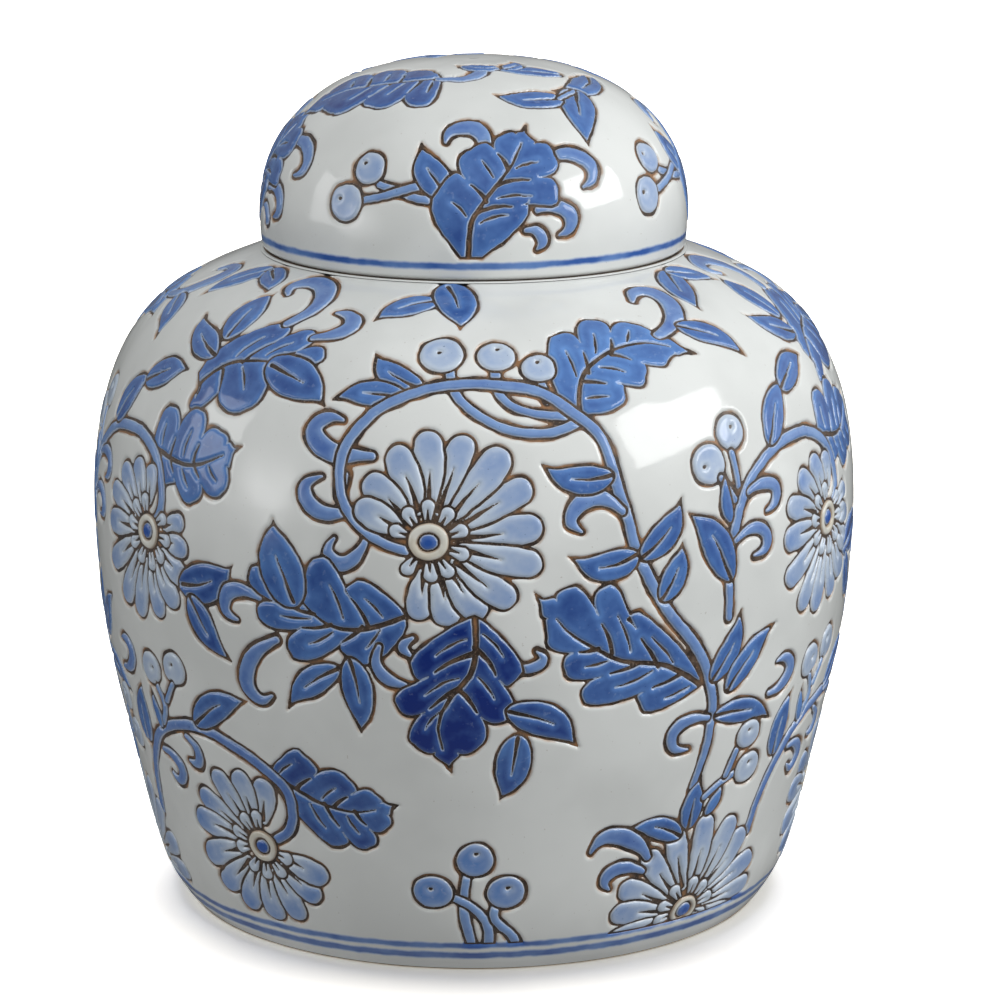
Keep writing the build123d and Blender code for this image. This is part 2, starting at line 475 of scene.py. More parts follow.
def draw_jar(d):
    # shoulder
    lobed(d, [(-48.5, 194), (-45, 201.5), (-40, 205), (-36, 205.5), (-31, 204)],
          [(0.30, (-37.5, 221.5), 11, 0.08), (0.62, (-30.3, 219), 12, 0.08),
           (0.85, (-26.3, 211), 11, 0.05), (0.05, (-48.5, 185.5), 10, 0.06),
           (0.45, (-37, 188.5), 15, 0.10)],
          tone=0.5, slit=1.0, notch=0.45, tip_notch=0.5, bold=1.2)
    leaf(d, (-35.2, 204.5), (-24, 195.3), 14, 0.08, tone=0.45)
    leaf(d, (-48.5, 212), (-49.5, 233), 12, 0.05)
    leaf(d, (-48.5, 205), (-59.5, 215.5), 9.5, 0.12)
    hook(d, [(-37.5, 222), (-35, 229), (-35.3, 238), (-39, 244), (-44.5, 244), (-47, 240),
             (-45, 236)], 7.4)
    hook(d, [(-30, 217), (-26, 220), (-24, 225), (-26, 229.5), (-29, 230)], 6.0)
    leaf(d, (-9.2, 240), (-19.5, 230), 10, -0.12)
    leaf(d, (-6.5, 249), (-1.8, 227), 13, 0.05)
    lobed(d, [(16.3, 191), (17.5, 203), (20.5, 209), (26, 213.5), (33, 213.5), (39.5, 208.5)],
          [(0.15, (15, 221), 13, -0.08), (0.35, (23.5, 227), 14, -0.08),
           (0.58, (31, 223.5), 12, -0.06), (0.08, (24, 196.5), 11, 0.08),
           (0.30, (28.5, 201.5), 12, 0.10), (0.62, (34, 206.5), 9, 0.08)],
          tone=0.72, slit=0.65, notch=0.38, bold=1.2)
    hook(d, [(35, 217), (40, 221), (43.5, 227), (44.5, 234), (42, 239), (38.5, 238.5),
             (36.3, 235)], 7.2)
    leaf(d, (41, 219.5), (51, 206), 9.5, 0.1)
    leaf(d, (57, 246), (49.5, 227), 11, -0.08)
    leaf(d, (58, 246), (68, 237), 9, 0.1)
    # the main arch over flower A
    stroke(d, [(-4, 207), (-2.5, 198), (1.5, 190.5), (6, 186.5), (11, 186), (15.5, 188.5)],
           [3.0, 2.8, 2.8])
    stroke(d, [(3.5, 207), (4, 199), (7, 193.5), (11, 191.5), (14, 191)], [3.0, 2.6, 2.6])
    stroke(d, [(10.5, 203), (11.2, 196)], [2.8, 2.6])
    leaf(d, (-8.5, 200.5), (-16.8, 210.5), 8.5, 0.1, tone=0.6)
    leaf(d, (-11, 197), (-21.3, 197), 8.5, -0.12, tone=0.6)
    hook(d, [(-15, 178), (-19, 178), (-23, 180.5), (-24.5, 185), (-22.5, 189), (-20, 189)], 6.2)
    hook(d, [(-17, 161), (-20.5, 159.5), (-24, 162), (-25, 167), (-22.5, 171)], 5.0)
    stroke(d, [(-19.3, 165), (-19, 172)], [2.6, 2.8], tone=0.4, line=0.6)
    hook(d, [(-15.5, 151.5), (-17, 146.5), (-19.5, 144.5), (-21, 148), (-20, 152)], 4.6)
    stroke(d, [(36.3, 63), (37.5, 75), (38, 88), (37, 100), (33.8, 112.5), (29.3, 124.5),
               (25.2, 138), (22.7, 153), (20.6, 170), (19, 183), (15, 192), (10, 199),
               (4, 202), (-2, 202.3), (-8, 200), (-13, 195.5), (-17, 188), (-19.6, 178),
               (-19.5, 168), (-17.8, 160), (-14.5, 153.5), (-9.5, 149.5)],
           [2.6, 3.4, 3.6, 3.6, 3.4, 3.2, 3.4, 3.4, 3.0, 2.8], tone=0.55, count=130, line=0.15)
    # leaves and hooks on the main stem
    leaf(d, (24.5, 145), (31, 159.5), 9, -0.1)
    leaf(d, (27.5, 131), (31, 146), 8.5, -0.1)
    hook(d, [(21.3, 160), (18.5, 164.5), (15.3, 163.5), (13.8, 158.5), (15.3, 155)], 5.4)
    leaf(d, (23.5, 146), (14, 145), 9.5, 0.22)
    leaf(d, (20, 171.5), (10.5, 174), 9.0, 0.22)
    leaf(d, (37.5, 101), (42.2, 120), 9, -0.08)
    leaf(d, (40.5, 96), (48.3, 114.5), 8.5, 0.06)
    leaf(d, (38.8, 88), (51, 84), 8.5, 0.12)
    hook(d, [(50.5, 90.5), (54, 93), (55.2, 98), (53.5, 101.5), (51.5, 101)], 4.8)
    hook(d, [(37.3, 88), (33.5, 88.5), (30.8, 84.5), (31.3, 79.5), (34, 78)], 4.2)
    lobed(d, [(35, 100), (28, 109), (21.3, 112.5), (16.5, 118), (12.5, 125), (9, 134.5)],
          [(0.15, (22.8, 127.5), 11, -0.05), (0.42, (18.6, 137), 13, -0.05),
           (0.66, (13.7, 137.5), 9, -0.05), (0.02, (25, 95.5), 12, 0.05),
           (0.25, (15.8, 100.5), 12, 0.06), (0.50, (12.8, 110.5), 10, 0.06),
           (0.72, (10.4, 121.5), 9, 0.05)],
          tone=0.48, slit=0.75, notch=0.4, bold=1.35, base=0.1)
    # berries over the arch
    berry(d, (-5.5, 213), 6.9, (-0.12, 0.12))
    berry(d, (3.8, 212.5), 5.9, (0.1, 0.55))
    berry(d, (10.5, 207.5), 5.1, (0.0, 0.5))
    flower(d, (-6.4, 152.5), 5.9, 2.5, 17,
           lambda a: 29.5 * (1 + 0.26 * math.cos(a - 0.61)), 9.4, turn=0.12, open_to=203)
    # flower B, the same as flower C a third of a turn on
    lobed(d, [(-56, 171), (-51, 168.5), (-46, 168), (-41.5, 171.5), (-37.3, 176)],
          [(0.12, (-53.3, 184.5), 12, 0.08), (0.42, (-46, 185.5), 12, 0.08),
           (0.70, (-41, 180.5), 9, 0.05), (0.12, (-51, 160), 11, -0.05),
           (0.40, (-44.8, 156.5), 11, -0.06), (0.70, (-39, 161.5), 10, -0.06)],
          tone=0.58, slit=0.7, notch=0.4, bold=1.25)
    stroke(d, [(-80.5, 121), (-80.8, 134.5), (-80, 147.5), (-78.5, 156.5), (-75.8, 164),
               (-70, 171.5), (-63.5, 174), (-57.5, 172), (-53.8, 166), (-52, 158),
               (-52.3, 150.5), (-53.7, 146.5)],
           [2.6, 3.4, 3.4, 3.6, 3.4, 3.0], tone=0.55, count=70, line=0.15)
    leaf(d, (-70.5, 174), (-64, 191.5), 10.5, 0.06)
    leaf(d, (-63.3, 190), (-54, 198.5), 10, 0.06)
    leaf(d, (-80.5, 134), (-87, 157), 11, -0.08)
    berry(d, (-83.7, 171), 6.4, (-0.3, -0.1))
    berry(d, (-78.7, 180), 5.9, (0.1, 0.3))
    stroke(d, [(-79, 173.5), (-78.7, 163)], [2.2, 2.0])
    stroke(d, [(-81.8, 166), (-79.5, 159)], [2.2, 2.2])
    leaf(d, (-80.6, 152), (-81.5, 166), 4.6, 0.05, vein=0, tone=0.6)
    hook(d, [(-76.5, 160), (-73.5, 161.5), (-70.5, 159.5), (-70.8, 155.5), (-73, 153)], 4.6)
    hook(d, [(-79.5, 145.5), (-76, 148.3), (-73.3, 145.5), (-73.5, 141), (-76, 139.3)], 4.6)
    flower(d, (-55.4, 143), 5.6, 2.3, 15,
           lambda a: 26.0 * (1 + 0.22 * math.cos(a + 2.44)), 8.8, turn=0.3, tone=0.42,
           open_to=60, gap=26)
    leaf(d, (-47, 129.5), (-37, 137), 13, -0.14, tone=0.35)
    leaf(d, (-45.5, 125.5), (-39.3, 108), 9.5, -0.06, tone=0.4)
    hook(d, [(-32, 130.5), (-35.5, 132), (-38, 129), (-38.2, 124.5), (-36, 122)], 5.2)
    hook(d, [(-29.5, 117), (-33, 112), (-35, 105.5), (-35, 99), (-33, 95.8), (-31, 98)], 6.0)
    # leaf E, centre left
    lobed(d, [(-9.8, 128.5), (-13, 125.5), (-17.2, 123.5), (-21, 124.5), (-24.5, 130),
              (-27, 139)],
          [(0.14, (-17.2, 138.5), 12, -0.12), (0.40, (-22.4, 145.5), 13, -0.08),
           (0.16, (-17, 113), 13, 0.05), (0.46, (-27, 113.5), 13, 0.12),
           (0.62, (-32.3, 125.5), 13, 0.10), (0.74, (-33.4, 138), 14, 0.08)],
          tone=0.5, slit=1.0, notch=0.5, tip_notch=0.6, bold=1.25)
    leaf(d, (-26.3, 130.5), (-30.3, 153.5), 14.5, 0.04, tone=0.55)
    leaf(d, (-20, 110), (-28, 97), 9, -0.1)
    leaf(d, (-18, 113), (-16.2, 91), 10, 0.05)
    # leaf F under flower A
    hook(d, [(-13.5, 118.5), (-14, 112.5), (-12, 107.5), (-9, 106.5)], 4.0)
    hook(d, [(-8.6, 121.5), (-10, 118.5), (-8.6, 115.5)], 3.0)
    hook(d, [(5.3, 113), (8, 112), (9.8, 115), (8.8, 117.5)], 3.4)
    lobed(d, [(0, 129), (0, 119), (-0.7, 110), (-3.2, 103), (-4.8, 96), (-5, 88), (-3.7, 78.5)],
          [(0.05, (6.3, 109.5), 13, 0.14), (0.30, (4.9, 95.5), 12, 0.10),
           (0.62, (0.7, 86), 9, 0.08), (0.10, (-8.8, 112), 12, -0.12),
           (0.34, (-11.2, 99), 13, -0.12), (0.60, (-8.8, 86.5), 11, -0.10)],
          tone=0.12, slit=0.85, notch=0.36, tip_notch=0.3, bold=1.6, base=0.12)
    leaf(d, (5, 97.5), (15, 87.5), 11, 0.14, tone=0.4)
    leaf(d, (6.3, 88.5), (4.8, 68), 11, 0.02)
    # flower D, bottom left, on its own arch
    lobed(d, [(-33, 70.5), (-29.7, 66.5), (-26, 63), (-22.5, 61), (-18, 60.5), (-12.8, 63.5)],
          [(0.06, (-26.6, 79), 16, 0.12), (0.42, (-19.6, 72), 13, 0.10),
           (0.66, (-15.4, 67.5), 9, 0.06), (0.30, (-22.3, 47), 13, -0.10),
           (0.62, (-17, 48), 11, -0.08), (0.80, (-14.2, 55), 8, -0.05)],
          tone=0.36, slit=0.8, notch=0.35, bold=1.25, base=0.12)
    stroke(d, [(-67.5, 40), (-66.5, 50), (-63, 65), (-58.5, 73.5), (-52, 79), (-46, 80.5),
               (-39.8, 77), (-34.2, 71.5), (-31, 66), (-30, 58), (-31.3, 50), (-34, 46)],
           [3.0, 3.6, 3.6, 3.6, 3.2], tone=0.3, count=60, line=0.15)
    leaf(d, (-47.5, 82), (-37, 95), 10.5, 0.1, tone=0.45)
    leaf(d, (-65, 67), (-63.7, 87), 9.5, 0.05, tone=0.45)
    hook(d, [(-51, 75.5), (-48.5, 71), (-49, 66.5), (-51.5, 66.5)], 4.2)
    hook(d, [(-59.5, 66.5), (-56, 65.5), (-54.3, 61), (-56, 57), (-58, 59)], 4.6)
    berry(d, (-57.8, 96), 5.8, (0.2, 0.1))
    berry(d, (-51, 99), 6.0, (-0.2, 0.2))
    stroke(d, [(-56.5, 90), (-55.5, 84), (-57.3, 77)], [2.0, 2.4, 2.4])
    stroke(d, [(-52, 93), (-54.5, 86)], [2.0, 2.2])
    leaf(d, (-58, 75), (-59.3, 86), 4, 0.0, vein=0, tone=0.6)
    flower(d, (-37.3, 42.3), 5.4, 2.3, 15,
           lambda a: 27.5 * (1 + 0.15 * math.cos(a - 3.6)), 9.0, turn=0.1, open_to=33, tone=0.30)
    # bottom sprig of berries, in a dark tone that is painted shade low on the jar
    stroke(d, [(-1.2, 40), (-1.8, 31), (-1.5, 21), (-0.3, 10)], [2.6, 3.0, 3.2])
    stroke(d, [(-4.5, 32), (-1, 28.5), (1.8, 22), (2.3, 10)], [2.6, 3.0, 3.2])
    stroke(d, [(3.6, 29), (3.2, 24), (6, 17.5), (7.7, 10)], [2.6, 2.8, 3.0])
    berry(d, (0, 45), 6.1, (0.05, 0.35), 0.14)
    berry(d, (-7, 33), 6.1, (-0.15, 0.2), 0.14)
    berry(d, (5.2, 33), 6.1, (0.1, 0.3), 0.14)
    # half flower at the foot, right
    flower(d, (39.7, 17), 5.2, 2.6, 17, lambda a: 30.0 * (1 + 0.12 * math.cos(a - 1.2)), 8.6,
           turn=0.05)
    hook(d, [(29.5, 40.5), (27.5, 46), (24, 50), (20.5, 49.8), (18.9, 45.5)], 6.2)
    hook(d, [(29, 35.5), (26, 38), (23, 37.3), (21.8, 33.5), (22.7, 31)], 4.6)
    leaf(d, (35.5, 46), (26.5, 53.5), 8, -0.1)
    leaf(d, (37, 49), (37.3, 65), 8.5, 0.03)
    stroke(d, [(39.3, 58.5), (42, 62.5), (45.2, 64.5)], [2.2, 2.2])
    stroke(d, [(43.3, 65), (44.8, 73)], [2.2, 2.2])
    leaf(d, (40.5, 52), (43, 61), 4.4, -0.1, vein=0, tone=0.6)
    berry(d, (48.3, 65.5), 5.5, (0, 0.3))
    berry(d, (47, 78), 5.1, (0, 0.3))


draw_jar(jar)

# The lid has a lobed leaf with berries four times round, and bigger sprays twice above them.
LID_LAST, LID_TOP = 109.6, 110.9        # mm up the lid: the drawn grid's end, and the crown's
lid = Decor(LID, rows=221, columns=448, repeats=2, start=-90, last=LID_LAST, seed=11)


def draw_lid_side(d):
    stroke(d, [(-6, 28), (-14, 27), (-20, 28.5), (-26.5, 31)], [2.6, 2.6, 2.4])
    stroke(d, [(-7, 32), (-15, 31), (-21, 28.5), (-32, 25)], [2.6, 2.6, 2.4])
    leaf(d, (-6.5, 28), (-16.3, 43.5), 9.5, 0.1)
    hook(d, [(2.2, 41), (3.2, 47), (1, 51.8), (-3, 53), (-7, 51), (-8.4, 46.5)], 5.8)
    hook(d, [(21, 39), (26, 41.5), (32, 40), (35, 35.5), (33.5, 31), (31, 29.8)], 5.2)
    hook(d, [(17, 23.3), (22, 24.3), (26, 21), (25.5, 16.5), (22.5, 14.8)], 4.8)
    hook(d, [(13.5, 17), (16.5, 16.5), (18, 12.8), (16.5, 10.8)], 3.6)
    lobed(d, [(-1.5, 6), (-0.5, 19), (4.5, 29.5), (10, 37), (16.8, 51.5)],
          [(0.26, (-9.5, 30), 22, -0.16), (0.55, (-0.5, 44.5), 15, -0.10),
           (0.76, (9.5, 50), 8, -0.06), (0.22, (14.5, 24), 10, 0.14),
           (0.40, (23, 28), 14, 0.12), (0.64, (24.3, 41), 15, 0.10)],
          tone=0.5, slit=0.75, notch=0.32, bold=1.3, base=0.0)
    berry(d, (-30.5, 36), 5.6, (-0.4, 0.3), tone=0.55)
    berry(d, (-36, 24), 6.1, (-0.4, 0.2), tone=0.55)


def draw_lid_top(d):
    lobed(d, [(-21, 81), (-38, 76.5), (-55, 71), (-69, 63), (-77, 50)],
          [(0.04, (-20.5, 62.5), 11, 0.06), (0.26, (-41, 60), 12, 0.08),
           (0.52, (-57, 54.5), 11, 0.08), (0.20, (-42, 87), 9, -0.08),
           (0.45, (-66, 83), 10, -0.08), (0.70, (-82, 72), 10, -0.08)],
          tone=0.35, slit=0.85, notch=0.3, bold=1.2)
    hook(d, [(-22, 80.5), (-12, 81), (-2, 83), (4.5, 87), (5, 92), (-3, 95)], 5.0)
    leaf(d, (62, 79), (24, 90.5), 9, -0.08, tone=0.4)
    leaf(d, (80, 72.5), (42, 68), 10, 0.10)
    leaf(d, (50.5, 67.5), (36, 46.5), 12.5, -0.1)
    leaf(d, (38.5, 65), (11, 67.5), 9.5, 0.08, tone=0.45)
    stroke(d, [(50, 68), (44, 66.5), (38, 65)], [1.6, 1.6])
    leaf(d, (24, 92), (-17, 95.5), 7, 0.10, tone=0.4)
    leaf(d, (30, 90.5), (62, 96), 6, -0.10, tone=0.45)


for lid.turn in (0, 90):
    draw_lid_side(lid)
lid.turn = 0
draw_lid_top(lid)


# ---- From distances to meshes -------------------------------------------------------------

CELL_TOP, WHITE_TOP, GROOVE = -0.05, -0.22, -0.85    # mm from the turned surface
CELL_ROLL, WHITE_ROLL = 1.35, 1.25                   # mm over which a glaze rounds off
SNAP = 0.03                                          # mm from an edge that counts as on it
BLOCK = 4                                            # grid steps to a block of plain ground
CLEAR_OF_LINE, CLEAR_OF_BAND = 1.9, 0.6              # mm from such a block to line or band

swell = waves(21, 16, 45)
drift = waves(22, 5, 14)
uneven = waves(23, 6, 20)


def roll(inside, width, low, high):
    """The height of a glaze that rounds up from low at its edge to high, width mm inside."""
    x = 1 - np.clip(inside / width, 0, 1)
    return low + (high - low) * np.sqrt(np.maximum(1 - x * x, 0))


class Shell:
    """Vertices of one decorated surface, with the fields that split it into pieces: the place
    round it as cosine and sine, the mm up it, and the mm inside a cell, inside the brown
    lines with their cells, and inside a painted band."""
    FIELDS = ("cosine", "sine", "up", "cell", "line", "band", "tone", "kind")

    def __init__(self, decor, bands, low_edge):
        rows, cols = decor.rows, decor.columns * decor.repeats
        self.decor, self.rows, self.cols = decor, rows, cols
        phi = decor.start + decor.step * np.arange(cols)
        cosine, sine = (f(phi)[None, :] + np.zeros((rows, 1)) for f in (np.cos, np.sin))
        up = decor.s[:, None] + np.zeros((1, cols))
        r, z, _, _ = decor.turned.at(up)
        wander = uneven(r * sine, -r * cosine, z)
        cell, joined, tone, kind = (np.tile(field, (1, decor.repeats)) for field in (
            decor.inside, decor.joined, decor.tone, decor.kind))
        breadth = LINE + 0.20 * wander
        cell = np.minimum(cell, up - low_edge - 0.8)
        line = np.minimum(joined, up - low_edge - breadth) + breadth
        band = np.full(up.shape, -9.0)
        for height, width, tilt in bands:
            band = np.maximum(band, width / 2 - np.abs(z - height - tilt * sine + 0.08 * wander))
        self.v = {k: a.astype(float).ravel() for k, a in zip(
            self.FIELDS, (cosine, sine, up, cell, line, band, tone, kind))}
        self.build()

    def build(self):
        rows, cols = self.rows, self.cols
        index = np.arange(rows * cols).reshape(rows, cols)
        nxt = np.roll(index, -1, axis=1)
        quads = np.stack([index[:-1], nxt[:-1], nxt[1:], index[1:]], -1)     # rows-1, cols, 4
        flat = quads.reshape(-1, 4)
        in_cell, in_line, in_band = (self.v[k][flat] for k in ("cell", "line", "band"))
        all_cell = (in_cell > 0).all(1)
        all_line = (in_cell <= 0).all(1) & (in_line > 0).all(1)
        all_white = (in_line <= 0).all(1) & (in_band <= 0).all(1)
        all_band = (in_line <= 0).all(1) & (in_band > 0).all(1)
        mixed = ~(all_cell | all_line | all_white | all_band)
        plain = ((in_line < -CLEAR_OF_LINE) & (in_band < -CLEAR_OF_BAND)).all(1)
        plain = plain.reshape(rows - 1, cols)
        block = plain.reshape((rows - 1) // BLOCK, BLOCK, cols // BLOCK, BLOCK).all((1, 3))
        covered = np.repeat(np.repeat(block, BLOCK, 0), BLOCK, 1).ravel()
        self.polys = {"white": [flat[all_white & ~covered]], "line": [flat[all_line]],
                      "cell": [flat[all_cell]], "band": [flat[all_band]]}
        self.coarse(block)
        q = flat[mixed]
        row, col = np.divmod(np.nonzero(mixed)[0], cols)
        odd = ((row + col) % 2).astype(bool)
        one = np.where(odd[:, None], q[:, [0, 1, 2]], q[:, [0, 1, 3]])
        two = np.where(odd[:, None], q[:, [0, 2, 3]], q[:, [1, 2, 3]])
        tris = np.vstack([one, two])
        cell, rest = self.split(tris, "cell")
        line, ground = self.split(rest, "line")
        band, white = self.split(ground, "band")
        for name, t in (("cell", cell), ("line", line), ("band", band), ("white", white)):
            self.polys[name].append(t)

    def coarse(self, block):
        """Plain ground as big square blocks, with the corners that finer neighbours need."""
        rows, cols = self.rows, self.cols
        nb, mb = block.shape
        polys = []
        for i, j in zip(*np.nonzero(block)):
            below = i > 0 and not block[i - 1, j]
            above = i < nb - 1 and not block[i + 1, j]
            left, right = not block[i, j - 1], not block[i, (j + 1) % mb]
            r0, c0 = i * BLOCK, j * BLOCK
            ring = []
            for split, row, up, col, across in ((below, 0, 0, 0, 1), (right, 0, 1, BLOCK, 0),
                                                (above, BLOCK, 0, BLOCK, -1),
                                                (left, BLOCK, -1, 0, 0)):
                ring += [(r0 + row + up * k) * cols + (c0 + col + across * k) % cols
                         for k in range(BLOCK if split else 1)]
            polys.append(ring)
        self.rings = polys

    def split(self, tris, key):
        """Cut triangles where a field crosses zero: (above, not above)."""
        f = self.v[key]
        f[np.abs(f) < SNAP] = 0
        up = f[tris] > 0
        crossing = self.crossings(tris, key)
        above, below = [tris[up.all(1)]], [tris[~up.any(1)]]
        for lone_up in (True, False):
            chosen = up.sum(1) == (1 if lone_up else 2)
            pick, g = tris[chosen], up[chosen]
            lone = np.argmax(g if lone_up else ~g, axis=1)
            rows = np.arange(len(pick))
            a, b, c = (pick[rows, (lone + k) % 3] for k in range(3))
            ab, ac = crossing(a, b), crossing(a, c)
            tip = np.stack([a, ab, ac], 1)
            rest = np.vstack([np.stack([ab, b, c], 1), np.stack([ab, c, ac], 1)])
            (above if lone_up else below).append(tip)
            (below if lone_up else above).append(rest)
        out = []
        for group in (above, below):
            g = np.vstack(group)
            good = (g[:, 0] != g[:, 1]) & (g[:, 1] != g[:, 2]) & (g[:, 0] != g[:, 2])
            out.append(g[good])
        return out

    def crossings(self, tris, key):
        """Make one vertex on each edge where the field crosses zero, and return the function
        that finds it by the edge's ends. An end where the field is zero serves as it is."""
        f = self.v[key]
        ends = np.sort(np.vstack([tris[:, [0, 1]], tris[:, [1, 2]], tris[:, [2, 0]]]), axis=1)
        total = len(f)
        codes = np.unique((ends[:, 0] * total + ends[:, 1])[(f[ends] > 0).sum(1) == 1])
        low, high = codes // total, codes % total
        f_low, f_high = f[low], f[high]
        t = f_low / (f_low - f_high)
        fresh_spots = total + np.arange(len(codes))
        spots = np.where(f_low == 0, low, np.where(f_high == 0, high, fresh_spots))
        for name, v in self.v.items():
            fresh = v[low] + (v[high] - v[low]) * t
            if name in ("tone", "kind"):
                fresh = np.where(f_low > f_high, v[low], v[high])
            if name == key:
                fresh = 0 * t
            self.v[name] = np.concatenate([v, fresh])

        def crossing(a, b):
            code = np.minimum(a, b) * total + np.maximum(a, b)
            return spots[np.searchsorted(codes, code)]
        return crossing

    def positions(self, what):
        """Where the vertices lie on the cells, on the lines or on the white ground."""
        v, turned = self.v, self.decor.turned
        size = np.hypot(v["cosine"], v["sine"])
        cosine, sine = v["cosine"] / size, v["sine"] / size
        r, z, nr, nz = turned.at(v["up"])
        x, y = r * sine, -r * cosine
        wave = 0.10 * swell(x, y, z) + 0.02 * drift(x, y, z)
        fade = np.clip(v["up"] / 6, 0, 1) * np.clip((turned.total - v["up"]) / 5, 0, 1)
        wave = (wave - 0.16) * fade
        if what == "cell":
            h = roll(v["cell"], CELL_ROLL, GROOVE, CELL_TOP)
        elif what == "line":
            h = np.full(len(r), GROOVE)
        else:
            h = roll(-v["line"], WHITE_ROLL, GROOVE, WHITE_TOP)
        h = np.minimum(h + wave, -0.005)
        return np.stack([(r + h * nr) * sine, -(r + h * nr) * cosine, z + h * nz], 1) * MM


def make(name, co, polys, fields, material, body):
    """A mesh object from polygons given as arrays or lists of vertex indices."""
    flat, start, at = [], [], 0
    for group in polys:
        if isinstance(group, np.ndarray):
            if not len(group):
                continue
            flat.append(group.ravel())
            start.append(at + np.arange(len(group)) * group.shape[1])
            at += group.size
        else:
            lengths = np.array([len(g) for g in group])
            flat.append(np.concatenate([np.asarray(g) for g in group]))
            start.append(at + np.concatenate([[0], np.cumsum(lengths)[:-1]]))
            at += lengths.sum()
    flat, start = np.concatenate(flat), np.concatenate(start)
    used, flat = np.unique(flat, return_inverse=True)
    me = bpy.data.meshes.new(name)
    for part, count, key, values in (
            (me.vertices, len(used), "co", co[used].astype(np.float32).ravel()),
            (me.loops, len(flat), "vertex_index", flat.astype(np.int32)),
            (me.polygons, len(start), "loop_start", start.astype(np.int32))):
        part.add(count)
        part.foreach_set(key, values)
    me.update(calc_edges=True)
    me.shade_smooth()
    for key, values in fields.items():
        me.attributes.new(key, "FLOAT", "POINT").data.foreach_set(
            "value", values[used].astype(np.float32))
    me.materials.append(material)
    ob = bpy.data.objects.new(name, me)
    bpy.context.scene.collection.objects.link(ob)
    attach(ob, body)
    return ob


def sectors(shell, polys, count):
    """Split polygon arrays into equal sectors round the axis."""
    out = [[] for _ in range(count)]
    v = shell.v
    for group in polys:
        is_array = isinstance(group, np.ndarray)
        if not len(group):
            continue
        first = group[:, 0] if is_array else np.array([g[0] for g in group])
        other = group[:, 2] if is_array else np.array([g[len(g) // 2] for g in group])
        angle = np.arctan2(*(v[k][first] + v[k][other] for k in ("sine", "cosine")))
        k = np.floor((angle - shell.decor.start) / (2 * math.pi) * count).astype(int) % count
        for i in range(count):
            if is_array:
                out[i].append(group[k == i])
            else:
                chosen = [g for g, kk in zip(group, k) if kk == i]
                if chosen:
                    out[i].append(chosen)
    return out


# ---- Materials ----------------------------------------------------------------------------

def srgb(r, g, b):
    return tuple(((c / 255 + 0.055) / 1.055) ** 2.4 if c > 10 else c / 3294 for c in (r, g, b)) + (1,)


class Nodes:
    """A small helper for the node tree of a material or a world."""

    def __init__(self, name, owners=bpy.data.materials, shader="Principled BSDF"):
        self.owner = owners.new(name)
        self.owner.use_nodes = True
        self.tree = self.owner.node_tree
        self.shader = self.tree.nodes[shader]
        self.place = None           # the object's own coordinates, made when first used

    def node(self, kind):
        return self.tree.nodes.new("ShaderNode" + kind)

    def feed(self, sockets, values):
        """Link each value that is a socket, and set each that is a number or a colour."""
        for socket, v in zip(sockets, values):
            if isinstance(v, bpy.types.NodeSocket):
                self.tree.links.new(v, socket)
            else:
                socket.default_value = v

    def noise(self, scale, detail=2.0, rough=0.5):
        if not self.place:
            self.place = self.node("TexCoord").outputs["Object"]
        node = self.node("TexNoise")
        self.feed([node.inputs[k] for k in ("Scale", "Detail", "Roughness", "Vector")],
                  (scale, detail, rough, self.place))
        return node.outputs["Fac"]

    def value(self, name):
        node = self.node("Attribute")
        node.attribute_name = name
        return node.outputs["Fac"]

    def span(self, value, a, b, c=0.0, d=1.0):
        """The value's stretch from a to b, carried smoothly over to c to d."""
        node = self.node("MapRange")
        node.interpolation_type = "SMOOTHSTEP"
        names = ("Value", "From Min", "From Max", "To Min", "To Max")
        self.feed([node.inputs[k] for k in names], (value, a, b, c, d))
        return node.outputs["Result"]

    def varied(self, noise, low, high):
        """A roughness between low and high."""
        return self.span(noise, 0.3, 0.7, low, high)

    def math(self, kind, a, b):
        node = self.node("Math")
        node.operation = kind
        self.feed(node.inputs, (a, b))
        return node.outputs[0]

    def scaled(self, value, factor, plus):
        return self.math("ADD", self.math("MULTIPLY", value, factor), plus)

    def wandering(self, value, noise, amount):
        """The value, pushed up and down by the noise, so that an edge isn't even."""
        away = self.math("MULTIPLY", self.math("SUBTRACT", noise, 0.5), amount)
        return self.math("ADD", value, away)

    def mix(self, factor, a, b):
        node = self.node("Mix")
        node.data_type = "RGBA"
        self.feed([node.inputs[k] for k in (0, 6, 7)], (factor, a, b))
        return node.outputs[2]

    def finish(self, color, roughness, height=None, strength=0.2, distance=0.0003):
        sockets = self.shader.inputs
        self.feed((sockets["Base Color"], sockets["Roughness"]), (color, roughness))
        if height is not None:
            bump = self.node("Bump")
            self.feed([bump.inputs[k] for k in ("Strength", "Distance", "Height")],
                      (strength, distance, height))
            self.feed([sockets["Normal"]], [bump.outputs["Normal"]])
        return self.owner


def white_ground(n):
    """The slightly grey white glaze: faint clouds, and a few fine specks."""
    clouds = n.span(n.noise(22, 3), 0.35, 0.65)
    color = n.mix(clouds, srgb(214, 217, 215), srgb(225, 228, 226))
    specks = n.span(n.noise(900, 1), 0.765, 0.80)
    return n.mix(n.math("MULTIPLY", specks, 0.35), color, srgb(150, 140, 125))


def white_glaze(name, halo=True):
    n = Nodes(name)
    color = white_ground(n)
    if halo:
        near = n.span(n.value("away"), 0.0, 1.0, 1.0, 0.0)
        patchy = n.span(n.noise(160, 3), 0.34, 0.70)
        stain = n.math("MULTIPLY", n.math("POWER", near, 2.0), n.math("MULTIPLY", patchy, 0.85))
        color = n.mix(stain, color, srgb(178, 138, 98))
    return n.finish(color, n.varied(n.noise(70), 0.05, 0.11), n.noise(110), 0.10, 0.0004)


